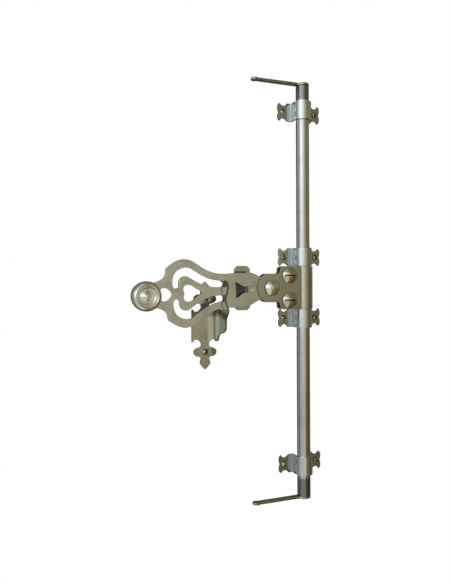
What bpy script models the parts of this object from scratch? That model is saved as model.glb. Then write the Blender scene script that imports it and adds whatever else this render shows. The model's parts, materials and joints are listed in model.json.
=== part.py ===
# Espagnolette: a rotating-rod bolt with a pierced swing handle, latched in its catch.
# Frame: origin on the rod's axis at the hub's middle, +X right, +Y into the window frame, +Z up. Metres.
import math

import bmesh
import bpy
from mathutils import Matrix, Vector, geometry

# Driving dimensions
ROD_RADIUS = 0.007
ROD_UP = 0.2135  # hub's middle to the rod's upper shoulder
ROD_DOWN = 0.2198  # hub's middle to the rod's lower shoulder
CLEAR = 0.0003  # gap that touching pieces keep
CUT_REACH = 0.02  # cutters run this far past the sheet
TIP_BEVEL = 0.0006
TURN_CLEAR = 0.0003  # round the rod in its guides and hub
HUB_WALL = 0.0027
BOARD = ROD_RADIUS + TURN_CLEAR + HUB_WALL + 0.0001  # rod's axis to the window frame's face
SHEET = 0.002  # sheet of the guides and the catch

HOOK_REACH = 0.0554  # rod's axis to the middle of the hook's tip
HOOK_TIP_RADIUS = 0.0040
HOOK_THICKNESS = 0.0025
HOOK_WIDTH = 0.0064
EYE_RADIUS = ROD_RADIUS + 0.0001
SPIGOT_RADIUS = ROD_RADIUS - 0.0025
ROD_CHAMFER = 0.0006

HUB_HEIGHT = 0.0448
GUIDE_HEIGHT = 0.0192
GUIDE_BY_HUB = HUB_HEIGHT / 2 + 0.0005 + GUIDE_HEIGHT / 2  # the hub turns just clear of them
GUIDE_PLACES = {
    "top": ROD_UP - 0.0263,
    "upper": GUIDE_BY_HUB,
    "lower": -GUIDE_BY_HUB,
    "bottom": -ROD_DOWN + 0.0318,
}
GUIDE_WALL = 0.002
GUIDE_FOLD = 0.0012  # inner radius where a wing leaves the barrel
WING_REACH = 0.0248
GUIDE_SCREW_OUT = 0.0188

CHEEK_FRONT = -0.008  # front face of the hub's front cheek
PIVOT_OUT = 0.0402  # rod's axis to the handle's pivot
NECK_HALF = 0.328 * HUB_HEIGHT
CHEEK_END_RADIUS = NECK_HALF + 0.0013
SHOULDER_RADIUS = 0.0042
NECK_FILLET = 0.0028
CLAMP_OUT = 0.0201
CLAMP_UP = 0.2857 * HUB_HEIGHT
CLAMP_RADIUS = 0.004
CLAMP_HEAD_RADIUS = 0.0083
CLAMP_HEAD_HEIGHT = 0.0042
NUT_HALF = 0.0065  # half of the width across flats
NUT_HEIGHT = 0.0055
CLAMP_STAND_OUT = NUT_HEIGHT + CLEAR + 0.0014  # the screw's end past the rear cheek
CLAMP_BRIM = 0.0008
CLAMP_SLOT = (0.02, 0.0020, 0.0014)  # length, depth and width
RIVET_RADIUS = 0.0048
RIVET_HEAD_RADIUS = 0.0081
RIVET_TAIL_RADIUS = 0.0068
RIVET_BRIM = 0.0006
RIVET_HEAD_DOME = 0.0036
RIVET_TAIL_DOME = 0.0024

HANDLE_THICKNESS = 0.0029
TONGUE_THICKNESS = 0.003
TONGUE_HALF = 0.0118
TONGUE_REACH = 0.0248  # pivot to the tongue's stepped end
TEE_NEAR = 0.0223  # pivot to the T-head's inner edge
TEE_WIDTH = 0.0162
TEE_HALF = 0.0225
TEE_CUT = 0.003  # its corners are cut off
STEP_LENGTH = 0.0020  # the slope from the tongue back to the T-head
STEP_LAP = 0.0006
LUG_OUT = 0.040  # pivot to the keyhole's straight end, where the lug is bent back
LUG_HALF = 0.006
LUG_BACK = 0.0046  # how far back the lug reaches
LUG_ROOT = 0.0009  # the lug starts this far behind the plate's face
HANDLE_DROOP = math.radians(2.8)
KNOB_OUT = 0.1337  # pivot to the knob's middle, along the handle
KNOB_RADIUS = 0.014
KNOB_LENGTH = 0.0165
KNOB_SCREW_RADIUS = 0.0025
KNOB_SCREW_REACH = 0.0085  # into the knob
KNOB_HOLE_DEPTH = KNOB_SCREW_REACH + 2 * CLEAR + 0.0001
PATTERN = KNOB_OUT / 0.1337  # the pierced pattern is as long as the handle
BLIND_RIVET_OUT = 0.0190
BLIND_RIVET_UP = 0.0078
BLIND_RIVET_RADIUS = 0.0016
BLIND_RIVET_DEPTH = 0.0016  # into the plate's back

FINGER_REACH = 0.43 * KNOB_OUT  # pivot to where the handle lies in the catch
CATCH_FOLD_OUT = PIVOT_OUT + FINGER_REACH  # rod's axis to the fold's inner corner
CATCH_OUT = CATCH_FOLD_OUT + 0.0097  # rod's axis to the catch's middle
CATCH_DOWN = 0.0375
CATCH_HALF_WIDTH = 0.0141
CATCH_HALF_HEIGHT = 0.0164
CATCH_SCREW_UP = 0.0266
CATCH_LEAN = math.radians(8)  # the wing's opening beyond a right angle
CATCH_SEAT = -0.0180 - FINGER_REACH * math.tan(HANDLE_DROOP)  # the wing's edge under the handle

SCREW_RADIUS = 0.00145
SCREW_HEAD_RADIUS = 0.0033
SCREW_HEAD_HEIGHT = 0.0019
SCREW_LENGTH = 0.0090
SCREW_POINT = 0.003
SCREW_SLOT = (0.010, 0.0009, 0.0008)  # length, depth and width

# Layers through the hub, front to back
CHEEK_BACK = CHEEK_FRONT + HUB_WALL
TONGUE_FRONT = CHEEK_BACK + CLEAR
TONGUE_BACK = TONGUE_FRONT + TONGUE_THICKNESS
REAR_CHEEK_FRONT = TONGUE_BACK + CLEAR
REAR_CHEEK_BACK = REAR_CHEEK_FRONT + HUB_WALL
HANDLE_BACK = TONGUE_FRONT - CLEAR
HANDLE_FRONT = HANDLE_BACK - HANDLE_THICKNESS
WING_FACE = BOARD - SHEET

STEEL = (0.46, 0.45, 0.41)
DARK_STEEL = (0.36, 0.35, 0.31)
BRIGHT_STEEL = (0.58, 0.58, 0.56)


def clear_scene():
    for item in list(bpy.data.objects):
        bpy.data.objects.remove(item, do_unlink=True)


def metal(name, colour, roughness):
    material = bpy.data.materials.new(name)
    material.use_nodes = True
    shader = material.node_tree.nodes["Principled BSDF"]
    shader.inputs["Base Color"].default_value = (*colour, 1)
    shader.inputs["Metallic"].default_value = 1
    shader.inputs["Roughness"].default_value = roughness
    return material


# Outlines are lists of (across, up) points. A third entry marks a sharp corner.


def arc(centre, radius, start, end, steps):
    points = []
    for step in range(steps + 1):
        angle = math.radians(start + (end - start) * step / steps)
        points.append((centre[0] + radius * math.cos(angle), centre[1] + radius * math.sin(angle)))
    return points


def tangent(before, here, after):
    back, ahead = here - before, after - here
    blend = back.normalized() * ahead.length + ahead.normalized() * back.length
    return blend.normalized()


def flow(points, steps=3):
    """A closed smooth curve through the points, with straight runs between sharp corners."""
    places = [Vector(p[:2]) for p in points]
    sharp = [len(p) > 2 for p in points]
    count = len(points)
    curve = []
    for i in range(count):
        a, b = places[i], places[(i + 1) % count]
        chord = b - a
        along = chord.normalized()
        start = tangent(places[i - 1], a, b)
        end = tangent(a, b, places[(i + 2) % count])
        both = sharp[i] and sharp[(i + 1) % count]
        if sharp[i]:
            start = along if both else 2 * end.dot(along) * along - end
        if sharp[(i + 1) % count]:
            end = along if both else 2 * start.dot(along) * along - start
        for step in range(1 if both else steps):
            t = step / steps
            curve.append(
                (2 * t**3 - 3 * t**2 + 1) * a
                + (t**3 - 2 * t**2 + t) * chord.length * start
                + (3 * t**2 - 2 * t**3) * b
                + (t**3 - t**2) * chord.length * end
            )
    return [(p.x, p.y) for p in curve]


def ring(radius, across=0, up=0, steps=24):
    """A round hole's outline."""
    return arc((across, up), radius, 0, 360 - 360 / steps, steps - 1)


def mirrored(points):
    """The outline whose upper half runs between two points on the axis."""
    lower = [(p[0], -p[1], *p[2:]) for p in reversed(points) if abs(p[1]) > 1e-6]
    return [*points, *lower]


def inside(point, loop):
    hit = False
    for i in range(len(loop)):
        (ax, ay), (bx, by) = loop[i - 1], loop[i]
        if (ay > point.y) != (by > point.y):
            hit ^= point.x < ax + (point.y - ay) * (bx - ax) / (by - ay)
    return hit


def fill(loops):
    points, edges = [], []
    for loop in loops:
        first = len(points)
        points += [Vector(p[:2]) for p in loop]
        edges += [(first + i, first + (i + 1) % len(loop)) for i in range(len(loop))]
    found = geometry.delaunay_2d_cdt(points, edges, [], 1, 1e-7)
    faces = []
    for face in found[2]:
        middle = sum((found[0][i] for i in face), Vector((0, 0))) / len(face)
        if inside(middle, loops[0]) and not any(inside(middle, hole) for hole in loops[1:]):
            faces.append(face)
    return found[0], faces


def finish_mesh(bm, name, material, sharp_angle=35):
    bmesh.ops.remove_doubles(bm, verts=bm.verts, dist=1e-7)
    bmesh.ops.recalc_face_normals(bm, faces=bm.faces)
    mesh = bpy.data.meshes.new(name)
    bm.to_mesh(mesh)
    bm.free()
    if material:
        mesh.materials.append(material)
    mesh.shade_smooth()
    mesh.set_sharp_from_angle(angle=math.radians(sharp_angle))
    piece = bpy.data.objects.new(name, mesh)
    bpy.context.scene.collection.objects.link(piece)
    return piece


def prism(name, loops, low, high, material=None, along="Y"):
    """A plate between two levels. Along Y its outline lies in X and Z, along Z in X and Y."""
    places, faces = fill(loops)
    bm = bmesh.new()
    if along == "Y":
        ends = [[bm.verts.new((p.x, level, p.y)) for p in places] for level in (low, high)]
    else:
        ends = [[bm.verts.new((p.x, p.y, level)) for p in places] for level in (low, high)]
    for face in faces:
        for end in ends:
            bm.faces.new([end[i] for i in face])
    rim = [e for e in bm.edges if len(e.link_faces) == 1]
    place = {vertex: (level, i) for level, end in enumerate(ends) for i, vertex in enumerate(end)}
    for edge in rim:
        (level, i), (_, j) = place[edge.verts[0]], place[edge.verts[1]]
        if level == 0:
            bm.faces.new([ends[0][i], ends[0][j], ends[1][j], ends[1][i]])
    return finish_mesh(bm, name, material)


def turned(name, profile, material=None, segments=32, along="Y"):
    """A turned piece. Its profile is (radius, level) from one pole to the other."""
    bm = bmesh.new()
    rings = []
    for radius, level in profile:
        ring = []
        for i in range(segments if radius > 0 else 1):
            angle = 2 * math.pi * i / segments
            x, y = radius * math.cos(angle), radius * math.sin(angle)
            ring.append(bm.verts.new((x, level, y) if along == "Y" else (x, y, level)))
        rings.append(ring)
    for a, b in zip(rings, rings[1:]):
        for i in range(segments):
            j = (i + 1) % segments
            corners = [a[i % len(a)], a[j % len(a)], b[j % len(b)], b[i % len(b)]]
            bm.faces.new(list(dict.fromkeys(corners)))
    return finish_mesh(bm, name, material)


def box(name, low, high, material=None):
    corners = [(low[0], low[2]), (high[0], low[2]), (high[0], high[2]), (low[0], high[2])]
    return prism(name, [corners], low[1], high[1], material)


def combine(piece, other, operation="DIFFERENCE"):
    other.hide_render = True
    other.display_type = "WIRE"
    step = piece.modifiers.new(other.name, "BOOLEAN")
    step.operation = operation
    step.solver = "EXACT"
    step.object = other
    return piece


def drill(piece, name, radius, low, high, across=0, up=0):
    cutter = turned(name, [(0, low), (radius, low), (radius, high), (0, high)], segments=24)
    cutter.location = (across, 0, up)
    return combine(piece, cutter)


def dome(radius, height, steps=5):
    """Points of a domed head from its middle to its edge, which stands on level 0."""
    ball = (radius**2 + height**2) / (2 * height)
    sweep = math.asin(radius / ball)
    levels = [sweep * i / steps for i in range(steps + 1)]
    return [(ball * math.sin(a) if a else 0, ball - height - ball * math.cos(a)) for a in levels]


def make_anchor(name, place=(0, 0, 0)):
    anchor = bpy.data.objects.new(name, None)
    anchor.empty_display_size = 0.01
    anchor.location = place
    bpy.context.scene.collection.objects.link(anchor)
    return anchor


# Rod and hooks


def make_rod(anchor):
    top = ROD_UP + HOOK_THICKNESS + CLEAR
    bottom = -ROD_DOWN - HOOK_THICKNESS - CLEAR
    profile = [
        (0, top),
        (SPIGOT_RADIUS - ROD_CHAMFER, top),
        (SPIGOT_RADIUS, top - ROD_CHAMFER),
        (SPIGOT_RADIUS, ROD_UP),
        (ROD_RADIUS, ROD_UP),
        (ROD_RADIUS, -ROD_DOWN),
        (SPIGOT_RADIUS, -ROD_DOWN),
        (SPIGOT_RADIUS, bottom + ROD_CHAMFER),
        (SPIGOT_RADIUS - ROD_CHAMFER, bottom),
        (0, bottom),
    ]
    rod = turned("rod", profile, metal("rod_steel", STEEL, 0.28), 48, "Z")
    rod.parent = anchor


def make_hook(name, low, anchor, material):
    half = HOOK_WIDTH / 2
    eye_turn = math.degrees(math.asin(half / EYE_RADIUS))
    tip_turn = math.degrees(math.asin(half * 0.93 / HOOK_TIP_RADIUS))
    outline = arc((0, 0), EYE_RADIUS, eye_turn - 180, 180 - eye_turn, 24)
    outline += arc((-HOOK_REACH, 0), HOOK_TIP_RADIUS, tip_turn, 360 - tip_turn, 20)
    hole = ring(SPIGOT_RADIUS + CLEAR)
    hook = prism(name, [outline, hole], low, low + HOOK_THICKNESS, material, "Z")
    hook.parent = anchor


def make_hooks(anchor):
    material = metal("hook_steel", STEEL, 0.3)
    make_hook("top_hook", ROD_UP + CLEAR, anchor, material)
    make_hook("bottom_hook", -ROD_DOWN - CLEAR - HOOK_THICKNESS, anchor, material.copy())


# Guides


def guide_section():
    """The hat shape that the guide's strip is folded to, seen along the rod."""
    inner = ROD_RADIUS + TURN_CLEAR
    outer = inner + GUIDE_WALL
    far = WING_REACH + 0.003
    fold_out, fold_level = outer + GUIDE_FOLD, WING_FACE - GUIDE_FOLD
    left = arc((-fold_out, fold_level), GUIDE_FOLD, 90, 0, 4)
    front = arc((0, 0), outer, 180, 360, 20)
    right = arc((fold_out, fold_level), GUIDE_FOLD, 180, 90, 4)
    back_right = [(far, WING_FACE), (far, BOARD), (inner, BOARD)]
    hollow = arc((0, 0), inner, 0, -180, 20)
    back_left = [(-inner, BOARD), (-far, BOARD), (-far, WING_FACE)]
    return left + front + right + back_right + hollow + back_left


def guide_outline():
    """The strip's stamped outline: full height in the middle, horned at both ends."""
    half = GUIDE_HEIGHT / 2
    quarter = [
        (WING_REACH - 0.0010, 0, "sharp"),
        (WING_REACH + 0.0001, 0.0040),
        (WING_REACH - 0.0004, 0.0078),
        (WING_REACH - 0.0022, half, "sharp"),
        (WING_REACH - 0.0040, half - 0.0022),
        (WING_REACH - 0.0066, half - 0.0030),
        (WING_REACH - 0.0092, half - 0.0018),
        (WING_REACH - 0.0110, half, "sharp"),
    ]
    upper = quarter + [(-p[0], *p[1:]) for p in reversed(quarter)]
    return flow(upper + [(p[0], -p[1], *p[2:]) for p in reversed(upper[1:-1])])


def make_guide(name, height, material):
    half = GUIDE_HEIGHT / 2
    guide = prism(f"{name}_guide", [guide_section()], -half, half, material, "Z")
    stamp = prism(f"{name}_guide_stamp", [guide_outline()], -CUT_REACH, CUT_REACH)
    combine(guide, stamp, "INTERSECT")
    for side in (-1, 1):
        across = side * GUIDE_SCREW_OUT
        cutter = f"{name}_guide_hole_{'left' if side < 0 else 'right'}"
        drill(guide, cutter, SCREW_RADIUS + CLEAR, 0, CUT_REACH, across, height)
    stamp.location.z = height
    guide.location.z = height


def make_guides():
    for name, height in GUIDE_PLACES.items():
        make_guide(name, height, metal(f"{name}_guide_steel", STEEL, 0.24))


# Wood screws


def make_wood_screw(name, place, turn):
    material = metal(f"{name}_steel", DARK_STEEL, 0.35)
    seat = WING_FACE - CLEAR
    head = [(r, seat + level) for r, level in dome(SCREW_HEAD_RADIUS, SCREW_HEAD_HEIGHT, 4)]
    shank = [
        (SCREW_RADIUS, seat),
        (SCREW_RADIUS, seat + SCREW_LENGTH - SCREW_POINT),
        (0, seat + SCREW_LENGTH),
    ]
    screw = turned(name, head + shank, material, 16)
    length, depth, width = SCREW_SLOT
    low = (-length / 2, seat - 2 * SCREW_HEAD_HEIGHT, -width / 2)
    high = (length / 2, seat - SCREW_HEAD_HEIGHT + depth, width / 2)
    slot = box(f"{name}_slot", low, high)
    combine(screw, slot)
    for item in (screw, slot):
        item.location = (place[0], 0, place[1])
        item.rotation_euler.y = math.radians(turn)


def make_wood_screws():
    turns = iter((24, -38, 8, 62, -20, 35, -66, 12))
    for name, height in GUIDE_PLACES.items():
        for side, out in (("left", -GUIDE_SCREW_OUT), ("right", GUIDE_SCREW_OUT)):
            make_wood_screw(f"{name}_guide_screw_{side}", (out, height), next(turns))
    for side, up, turn in (("upper", CATCH_SCREW_UP, 30), ("lower", -CATCH_SCREW_UP, -52)):
        make_wood_screw(f"catch_screw_{side}", (-CATCH_OUT, -CATCH_DOWN + up), turn)


# Hub


def hub_section():
    """The strip folded round the rod, seen along the rod: front cheek, barrel, rear cheek."""
    inner = ROD_RADIUS + TURN_CLEAR
    outer = inner + HUB_WALL
    far = -PIVOT_OUT - CHEEK_END_RADIUS - 0.003
    front_turn = math.degrees(math.asin(CHEEK_FRONT / outer))
    rear_turn = math.degrees(math.asin(REAR_CHEEK_BACK / outer))
    slot_front_turn = math.degrees(math.asin(CHEEK_BACK / inner))
    slot_rear_turn = math.degrees(math.asin(REAR_CHEEK_FRONT / inner))
    barrel = arc((0, 0), outer, -180 - front_turn, 180 - rear_turn, 40)
    rear = [(far, REAR_CHEEK_BACK), (far, REAR_CHEEK_FRONT)]
    bore = arc((0, 0), inner, 180 - slot_rear_turn, -180 - slot_front_turn, 40)
    return [(far, CHEEK_FRONT), *barrel, *rear, *bore, (far, CHEEK_BACK)]


def hub_outline():
    """The cheeks' stamped outline: full height by the rod, then a neck that ends round the pivot."""
    half = HUB_HEIGHT / 2
    shoulder = -CLAMP_OUT - 0.0067
    swing = math.degrees(math.asin(NECK_HALF / CHEEK_END_RADIUS))
    corner = arc((shoulder, half - SHOULDER_RADIUS), SHOULDER_RADIUS, 90, 165, 6)
    fillet_out = shoulder - 0.97 * (SHOULDER_RADIUS + NECK_FILLET)
    fillet = arc((fillet_out, NECK_HALF + NECK_FILLET), NECK_FILLET, -15, -90, 5)
    nose = arc((-PIVOT_OUT, 0), CHEEK_END_RADIUS, 180 - swing, 180 + swing, 20)
    upper = [(ROD_RADIUS * 2, half), *corner, *fillet]
    return upper + nose + [(x, -z) for x, z in reversed(upper)]


def make_hub(anchor):
    half = HUB_HEIGHT / 2
    hub = prism("hub", [hub_section()], -half, half, metal("hub_steel", STEEL, 0.26), "Z")
    combine(hub, prism("hub_stamp", [hub_outline()], -CUT_REACH, CUT_REACH), "INTERSECT")
    for name, up in (("upper", CLAMP_UP), ("lower", -CLAMP_UP)):
        drill(hub, f"hub_{name}_hole", CLAMP_RADIUS + CLEAR, -CUT_REACH, CUT_REACH, -CLAMP_OUT, up)
    drill(hub, "hub_pivot_hole", RIVET_RADIUS + CLEAR, -CUT_REACH, CUT_REACH, -PIVOT_OUT)
    hub.parent = anchor


def make_clamp_screw(name, up, anchor):
    seat = CHEEK_FRONT - CLEAR
    end = REAR_CHEEK_BACK + CLAMP_STAND_OUT
    crown = dome(CLAMP_HEAD_RADIUS, CLAMP_HEAD_HEIGHT - CLAMP_BRIM, 5)
    head = [(r, seat - CLAMP_BRIM + level) for r, level in crown]
    shank = [(CLAMP_HEAD_RADIUS, seat), (CLAMP_RADIUS, seat), (CLAMP_RADIUS, end - TIP_BEVEL)]
    tip = [(CLAMP_RADIUS - TIP_BEVEL, end), (0, end)]
    screw = turned(name, head + shank + tip, metal(f"{name}_steel", DARK_STEEL, 0.22), 32)
    length, depth, width = CLAMP_SLOT
    low = (-length / 2, seat - 2 * CLAMP_HEAD_HEIGHT, -width / 2)
    high = (length / 2, seat - CLAMP_HEAD_HEIGHT + depth, width / 2)
    slot = box(f"{name}_slot", low, high)
    combine(screw, slot)
    for item in (screw, slot):
        item.location = (-CLAMP_OUT, 0, up)
        item.parent = anchor


def make_clamp_nut(name, up, anchor):
    corner = NUT_HALF / math.cos(math.radians(30))
    outline = arc((0, 0), corner, 0, 300, 5)
    hole = ring(CLAMP_RADIUS + CLEAR)
    low = REAR_CHEEK_BACK + CLEAR
    nut = prism(name, [outline, hole], low, low + NUT_HEIGHT, metal(f"{name}_steel", DARK_STEEL, 0.35))
    nut.location = (-CLAMP_OUT, 0, up)
    nut.parent = anchor


def make_pivot_rivet(anchor):
    front, back = CHEEK_FRONT - CLEAR, REAR_CHEEK_BACK + CLEAR
    crown = dome(RIVET_HEAD_RADIUS, RIVET_HEAD_DOME, 4)
    head = [(r, front - RIVET_BRIM + level) for r, level in crown]
    tail = [(r, back - level) for r, level in reversed(dome(RIVET_TAIL_RADIUS, RIVET_TAIL_DOME, 3))]
    shank = [(RIVET_HEAD_RADIUS, front), (RIVET_RADIUS, front), (RIVET_RADIUS, back)]
    rivet = turned("pivot_rivet", head + shank + tail, metal("pivot_rivet_steel", DARK_STEEL, 0.22), 32)
    rivet.location.x = -PIVOT_OUT
    rivet.parent = anchor


# Handle. Its outlines run (out from the pivot, up), and are turned to point along -X.


def outward(loop):
    return [(-p[0], p[1]) for p in loop]


def patterned(points):
    return [(p[0] * PATTERN, *p[1:]) for p in points]


def handle_outline():
    gap = CHEEK_END_RADIUS + 0.0008
    inner = arc((0, 0), gap, -40, 44, 12)
    upper_end = [(0.0158, 0.0138, "sharp"), (0.0215, 0.0167, "sharp")]
    lower_end = [(0.0275, -0.0174, "sharp"), (0.0185, -0.0130, "sharp")]
    side = [
        (0.0400, 0.0174, "sharp"),
        (0.0520, 0.0171),
        (0.0610, 0.0181),
        (0.0660, 0.0198),
        (0.0715, 0.0224),
        (0.0765, 0.0257),
        (0.0805, 0.0285),
        (0.0858, 0.0318),
        (0.0910, 0.0331),
        (0.0960, 0.0330),
        (0.1015, 0.0312),
        (0.1070, 0.0278),
        (0.1113, 0.0245, "sharp"),
        (0.1116, 0.0205),
        (0.1136, 0.0164),
        (0.1175, 0.0139),
        (0.1240, 0.0121),
        (0.1337, 0.0126),
        (0.1422, 0.0092),
        (0.1459, 0),
    ]
    ends = [(*p, "sharp") for p in inner]
    return flow([*ends, *upper_end, *patterned(mirrored(side)), *lower_end])


def crescent():
    return flow(patterned([
        (0.1040, 0.0059),
        (0.1052, 0.0100),
        (0.1048, 0.0145),
        (0.1032, 0.0187),
        (0.1002, 0.0221),
        (0.0960, 0.0242),
        (0.0912, 0.0250),
        (0.0872, 0.0245, "sharp"),
        (0.0820, 0.0214),
        (0.0755, 0.0170),
        (0.0690, 0.0137),
        (0.0620, 0.0114),
        (0.0550, 0.0095),
        (0.0534, 0.0069),
        (0.0554, 0.0044),
        (0.0604, 0.0043),
        (0.0663, 0.0049),
        (0.0720, 0.0067),
        (0.0775, 0.0089),
        (0.0825, 0.0115),
        (0.0865, 0.0141),
        (0.0905, 0.0164, "sharp"),
        (0.0948, 0.0163),
        (0.0977, 0.0142),
        (0.0990, 0.0108),
        (0.0990, 0.0080, "sharp"),
        (0.0998, 0.0062),
        (0.1018, 0.0053),
    ]))


def heart():
    return flow(patterned(mirrored([
        (0.0934, 0, "sharp"),
        (0.0945, 0.0028),
        (0.0941, 0.0058),
        (0.0919, 0.0080),
        (0.0886, 0.0081),
        (0.0830, 0.0050, "sharp"),
        (0.0766, 0.0013, "sharp"),
        (0.0759, 0),
    ])))


def window():
    return flow(patterned(mirrored([
        (0.1205, 0),
        (0.1180, 0.0046),
        (0.1130, 0.0065),
        (0.1097, 0.0050),
        (0.1060, 0, "sharp"),
    ])))


def keyhole():
    round_end = arc((0.0247, 0), 0.0031, 270, 90, 10)
    wide = [(LUG_OUT, 0.0084), (LUG_OUT, -0.0084), (0.0312, -0.0031)]
    return [*round_end, (0.0312, 0.0031), *wide]


def make_handle_plate(pivot):
    arch = crescent()
    knob_hole = ring(KNOB_SCREW_RADIUS + CLEAR, KNOB_OUT)
    holes = [keyhole(), window(), heart(), arch, [(x, -z) for x, z in arch], knob_hole]
    loops = [outward(loop) for loop in (handle_outline(), *holes)]
    plate = prism("handle_plate", loops, HANDLE_FRONT, HANDLE_BACK, metal("handle_steel", STEEL, 0.27))
    near, far = -LUG_OUT, -LUG_OUT - HANDLE_THICKNESS
    root = (far, HANDLE_FRONT + LUG_ROOT, -LUG_HALF)
    lug = box("handle_lug", root, (near, LUG_BACK, LUG_HALF))
    combine(plate, lug, "UNION")
    for item in (plate, lug):
        item.parent = pivot
        item.rotation_euler.y = -HANDLE_DROOP
    radius = BLIND_RIVET_RADIUS + CLEAR
    low, high = HANDLE_BACK - BLIND_RIVET_DEPTH - CLEAR, HANDLE_BACK + 0.001
    for name, side in (("lower", -1), ("upper", 1)):
        profile = [(0, low), (radius, low), (radius, high), (0, high)]
        hole = turned(f"handle_rivet_hole_{name}", profile, segments=20)
        hole.location = (-BLIND_RIVET_OUT, 0, side * BLIND_RIVET_UP)
        hole.parent = pivot
        combine(plate, hole)


def knob_place():
    return Matrix.Rotation(-HANDLE_DROOP, 3, "Y") @ Vector((-KNOB_OUT, 0, 0))


def make_tongue(pivot):
    """The tongue that turns between the cheeks, stepped back to a T-head behind the handle."""
    material = metal("tongue_steel", DARK_STEEL, 0.3)
    nose = arc((0, 0), TONGUE_HALF, 90, -90, 20)
    outline = [(-TONGUE_REACH, TONGUE_HALF), *nose, (-TONGUE_REACH, -TONGUE_HALF)]
    holes = [ring(RIVET_RADIUS + CLEAR)]
    for side in (-1, 1):
        holes.append(ring(BLIND_RIVET_RADIUS + CLEAR, -BLIND_RIVET_OUT, side * BLIND_RIVET_UP))
    tongue = prism("tongue", [outline, *holes], TONGUE_FRONT, TONGUE_BACK, material)
    near, far = -TEE_NEAR, -TEE_NEAR - TEE_WIDTH
    corners = [
        (near, TEE_HALF - TEE_CUT),
        (near - TEE_CUT, TEE_HALF),
        (far + TEE_CUT, TEE_HALF),
        (far, TEE_HALF - TEE_CUT),
    ]
    tee = corners + [(x, -z) for x, z in reversed(corners)]
    tee_front = TONGUE_BACK - STEP_LAP
    head = prism("tongue_tee", [tee], tee_front, REAR_CHEEK_BACK)
    start, end = -TONGUE_REACH, -TONGUE_REACH - STEP_LENGTH
    inner, low = start + STEP_LAP, tee_front + STEP_LAP / 2
    step = [(inner, TONGUE_FRONT), (start, TONGUE_FRONT), (end, tee_front), (end, low), (inner, low)]
    slope = prism("tongue_slope", [step], -TONGUE_HALF, TONGUE_HALF, along="Z")
    combine(tongue, head, "UNION")
    combine(tongue, slope, "UNION")
    for item in (head, slope, tongue):
        item.parent = pivot


def make_blind_rivets(pivot):
    """Rivets that hold the tongue to the handle, headed at the back only."""
    front, seat = HANDLE_BACK - BLIND_RIVET_DEPTH, TONGUE_BACK + CLEAR
    tail = [(r, seat - level) for r, level in reversed(dome(0.0027, 0.0011, 3))]
    for name, side in (("lower", -1), ("upper", 1)):
        profile = [(0, front), (BLIND_RIVET_RADIUS, front), (BLIND_RIVET_RADIUS, seat), *tail]
        material = metal(f"handle_rivet_{name}_steel", DARK_STEEL, 0.3)
        rivet = turned(f"handle_rivet_{name}", profile, material, 20)
        rivet.location = (-BLIND_RIVET_OUT, 0, side * BLIND_RIVET_UP)
        rivet.parent = pivot


def knob_profile():
    back = HANDLE_FRONT - CLEAR
    front = back - KNOB_LENGTH
    hole = KNOB_SCREW_RADIUS + CLEAR
    return [
        (0, front + 0.0004),
        (0.0014, front + 0.0006),
        (0.0020, front + 0.0014),
        (0.0052, front + 0.0022),
        (0.0078, front + 0.0034),
        (0.0090, front + 0.0042),
        (0.0102, front + 0.0032),
        (0.0114, front + 0.0010),
        (0.0122, front),
        (KNOB_RADIUS - 0.0006, front + 0.0008),
        (KNOB_RADIUS, front + 0.0022),
        (KNOB_RADIUS, front + 0.0076),
        (0.0132, front + 0.0092),
        (0.0104, front + 0.0108),
        (0.0076, front + 0.0122),
        (0.0066, front + 0.0142),
        (0.0072, back),
        (hole, back),
        (hole, back - KNOB_HOLE_DEPTH),
        (0, back - KNOB_HOLE_DEPTH),
    ]


def make_knob(pivot):
    knob = turned("knob", knob_profile(), metal("knob_steel", BRIGHT_STEEL, 0.2), 36)
    knob.location = knob_place()
    knob.parent = pivot
    seat = HANDLE_BACK + CLEAR
    end = HANDLE_FRONT - CLEAR - KNOB_SCREW_REACH
    tail = [(r, seat - level) for r, level in reversed(dome(0.0046, 0.0018, 3))]
    profile = [(0, end), (KNOB_SCREW_RADIUS, end), (KNOB_SCREW_RADIUS, seat), *tail]
    screw = turned("knob_screw", profile, metal("knob_screw_steel", DARK_STEEL, 0.3), 24)
    screw.location = knob_place()
    screw.parent = pivot


# Catch


def catch_flange_outline():
    """Flange with a pierced-iron leaf at both ends; its right side stops at the fold."""
    half, side = CATCH_HALF_HEIGHT, CATCH_HALF_WIDTH
    fold = CATCH_OUT - CATCH_FOLD_OUT
    leaf_left = [
        (-side, -half, "sharp"),
        (-side + 0.0020, -half, "sharp"),
        (-0.0121, -half + 0.0012),
        (-0.0097, -half + 0.0023),
        (-0.0060, -half + 0.0008),
        (-0.0041, -half - 0.0028),
        (-0.0048, -half - 0.0048),
        (-0.0086, -half - 0.0062),
        (-0.0120, -half - 0.0090),
        (-0.0117, -half - 0.0122),
        (-0.0086, -half - 0.0147),
        (-0.0054, -half - 0.0152),
        (-0.0044, -half - 0.0172, "sharp"),
        (-0.0057, -half - 0.0215, "sharp"),
        (-0.0034, -half - 0.0248),
        (0, -half - 0.0280, "sharp"),
    ]
    leaf_right = [(-p[0], *p[1:]) for p in reversed(leaf_left[4:-1])]
    foot = [(fold - 0.0002, -half + 0.0024, "sharp"), (fold, -half + 0.0024, "sharp")]
    lower = leaf_left + leaf_right + foot
    upper = [(p[0], -p[1], *p[2:]) for p in reversed(lower)]
    return flow(lower + upper)


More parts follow.
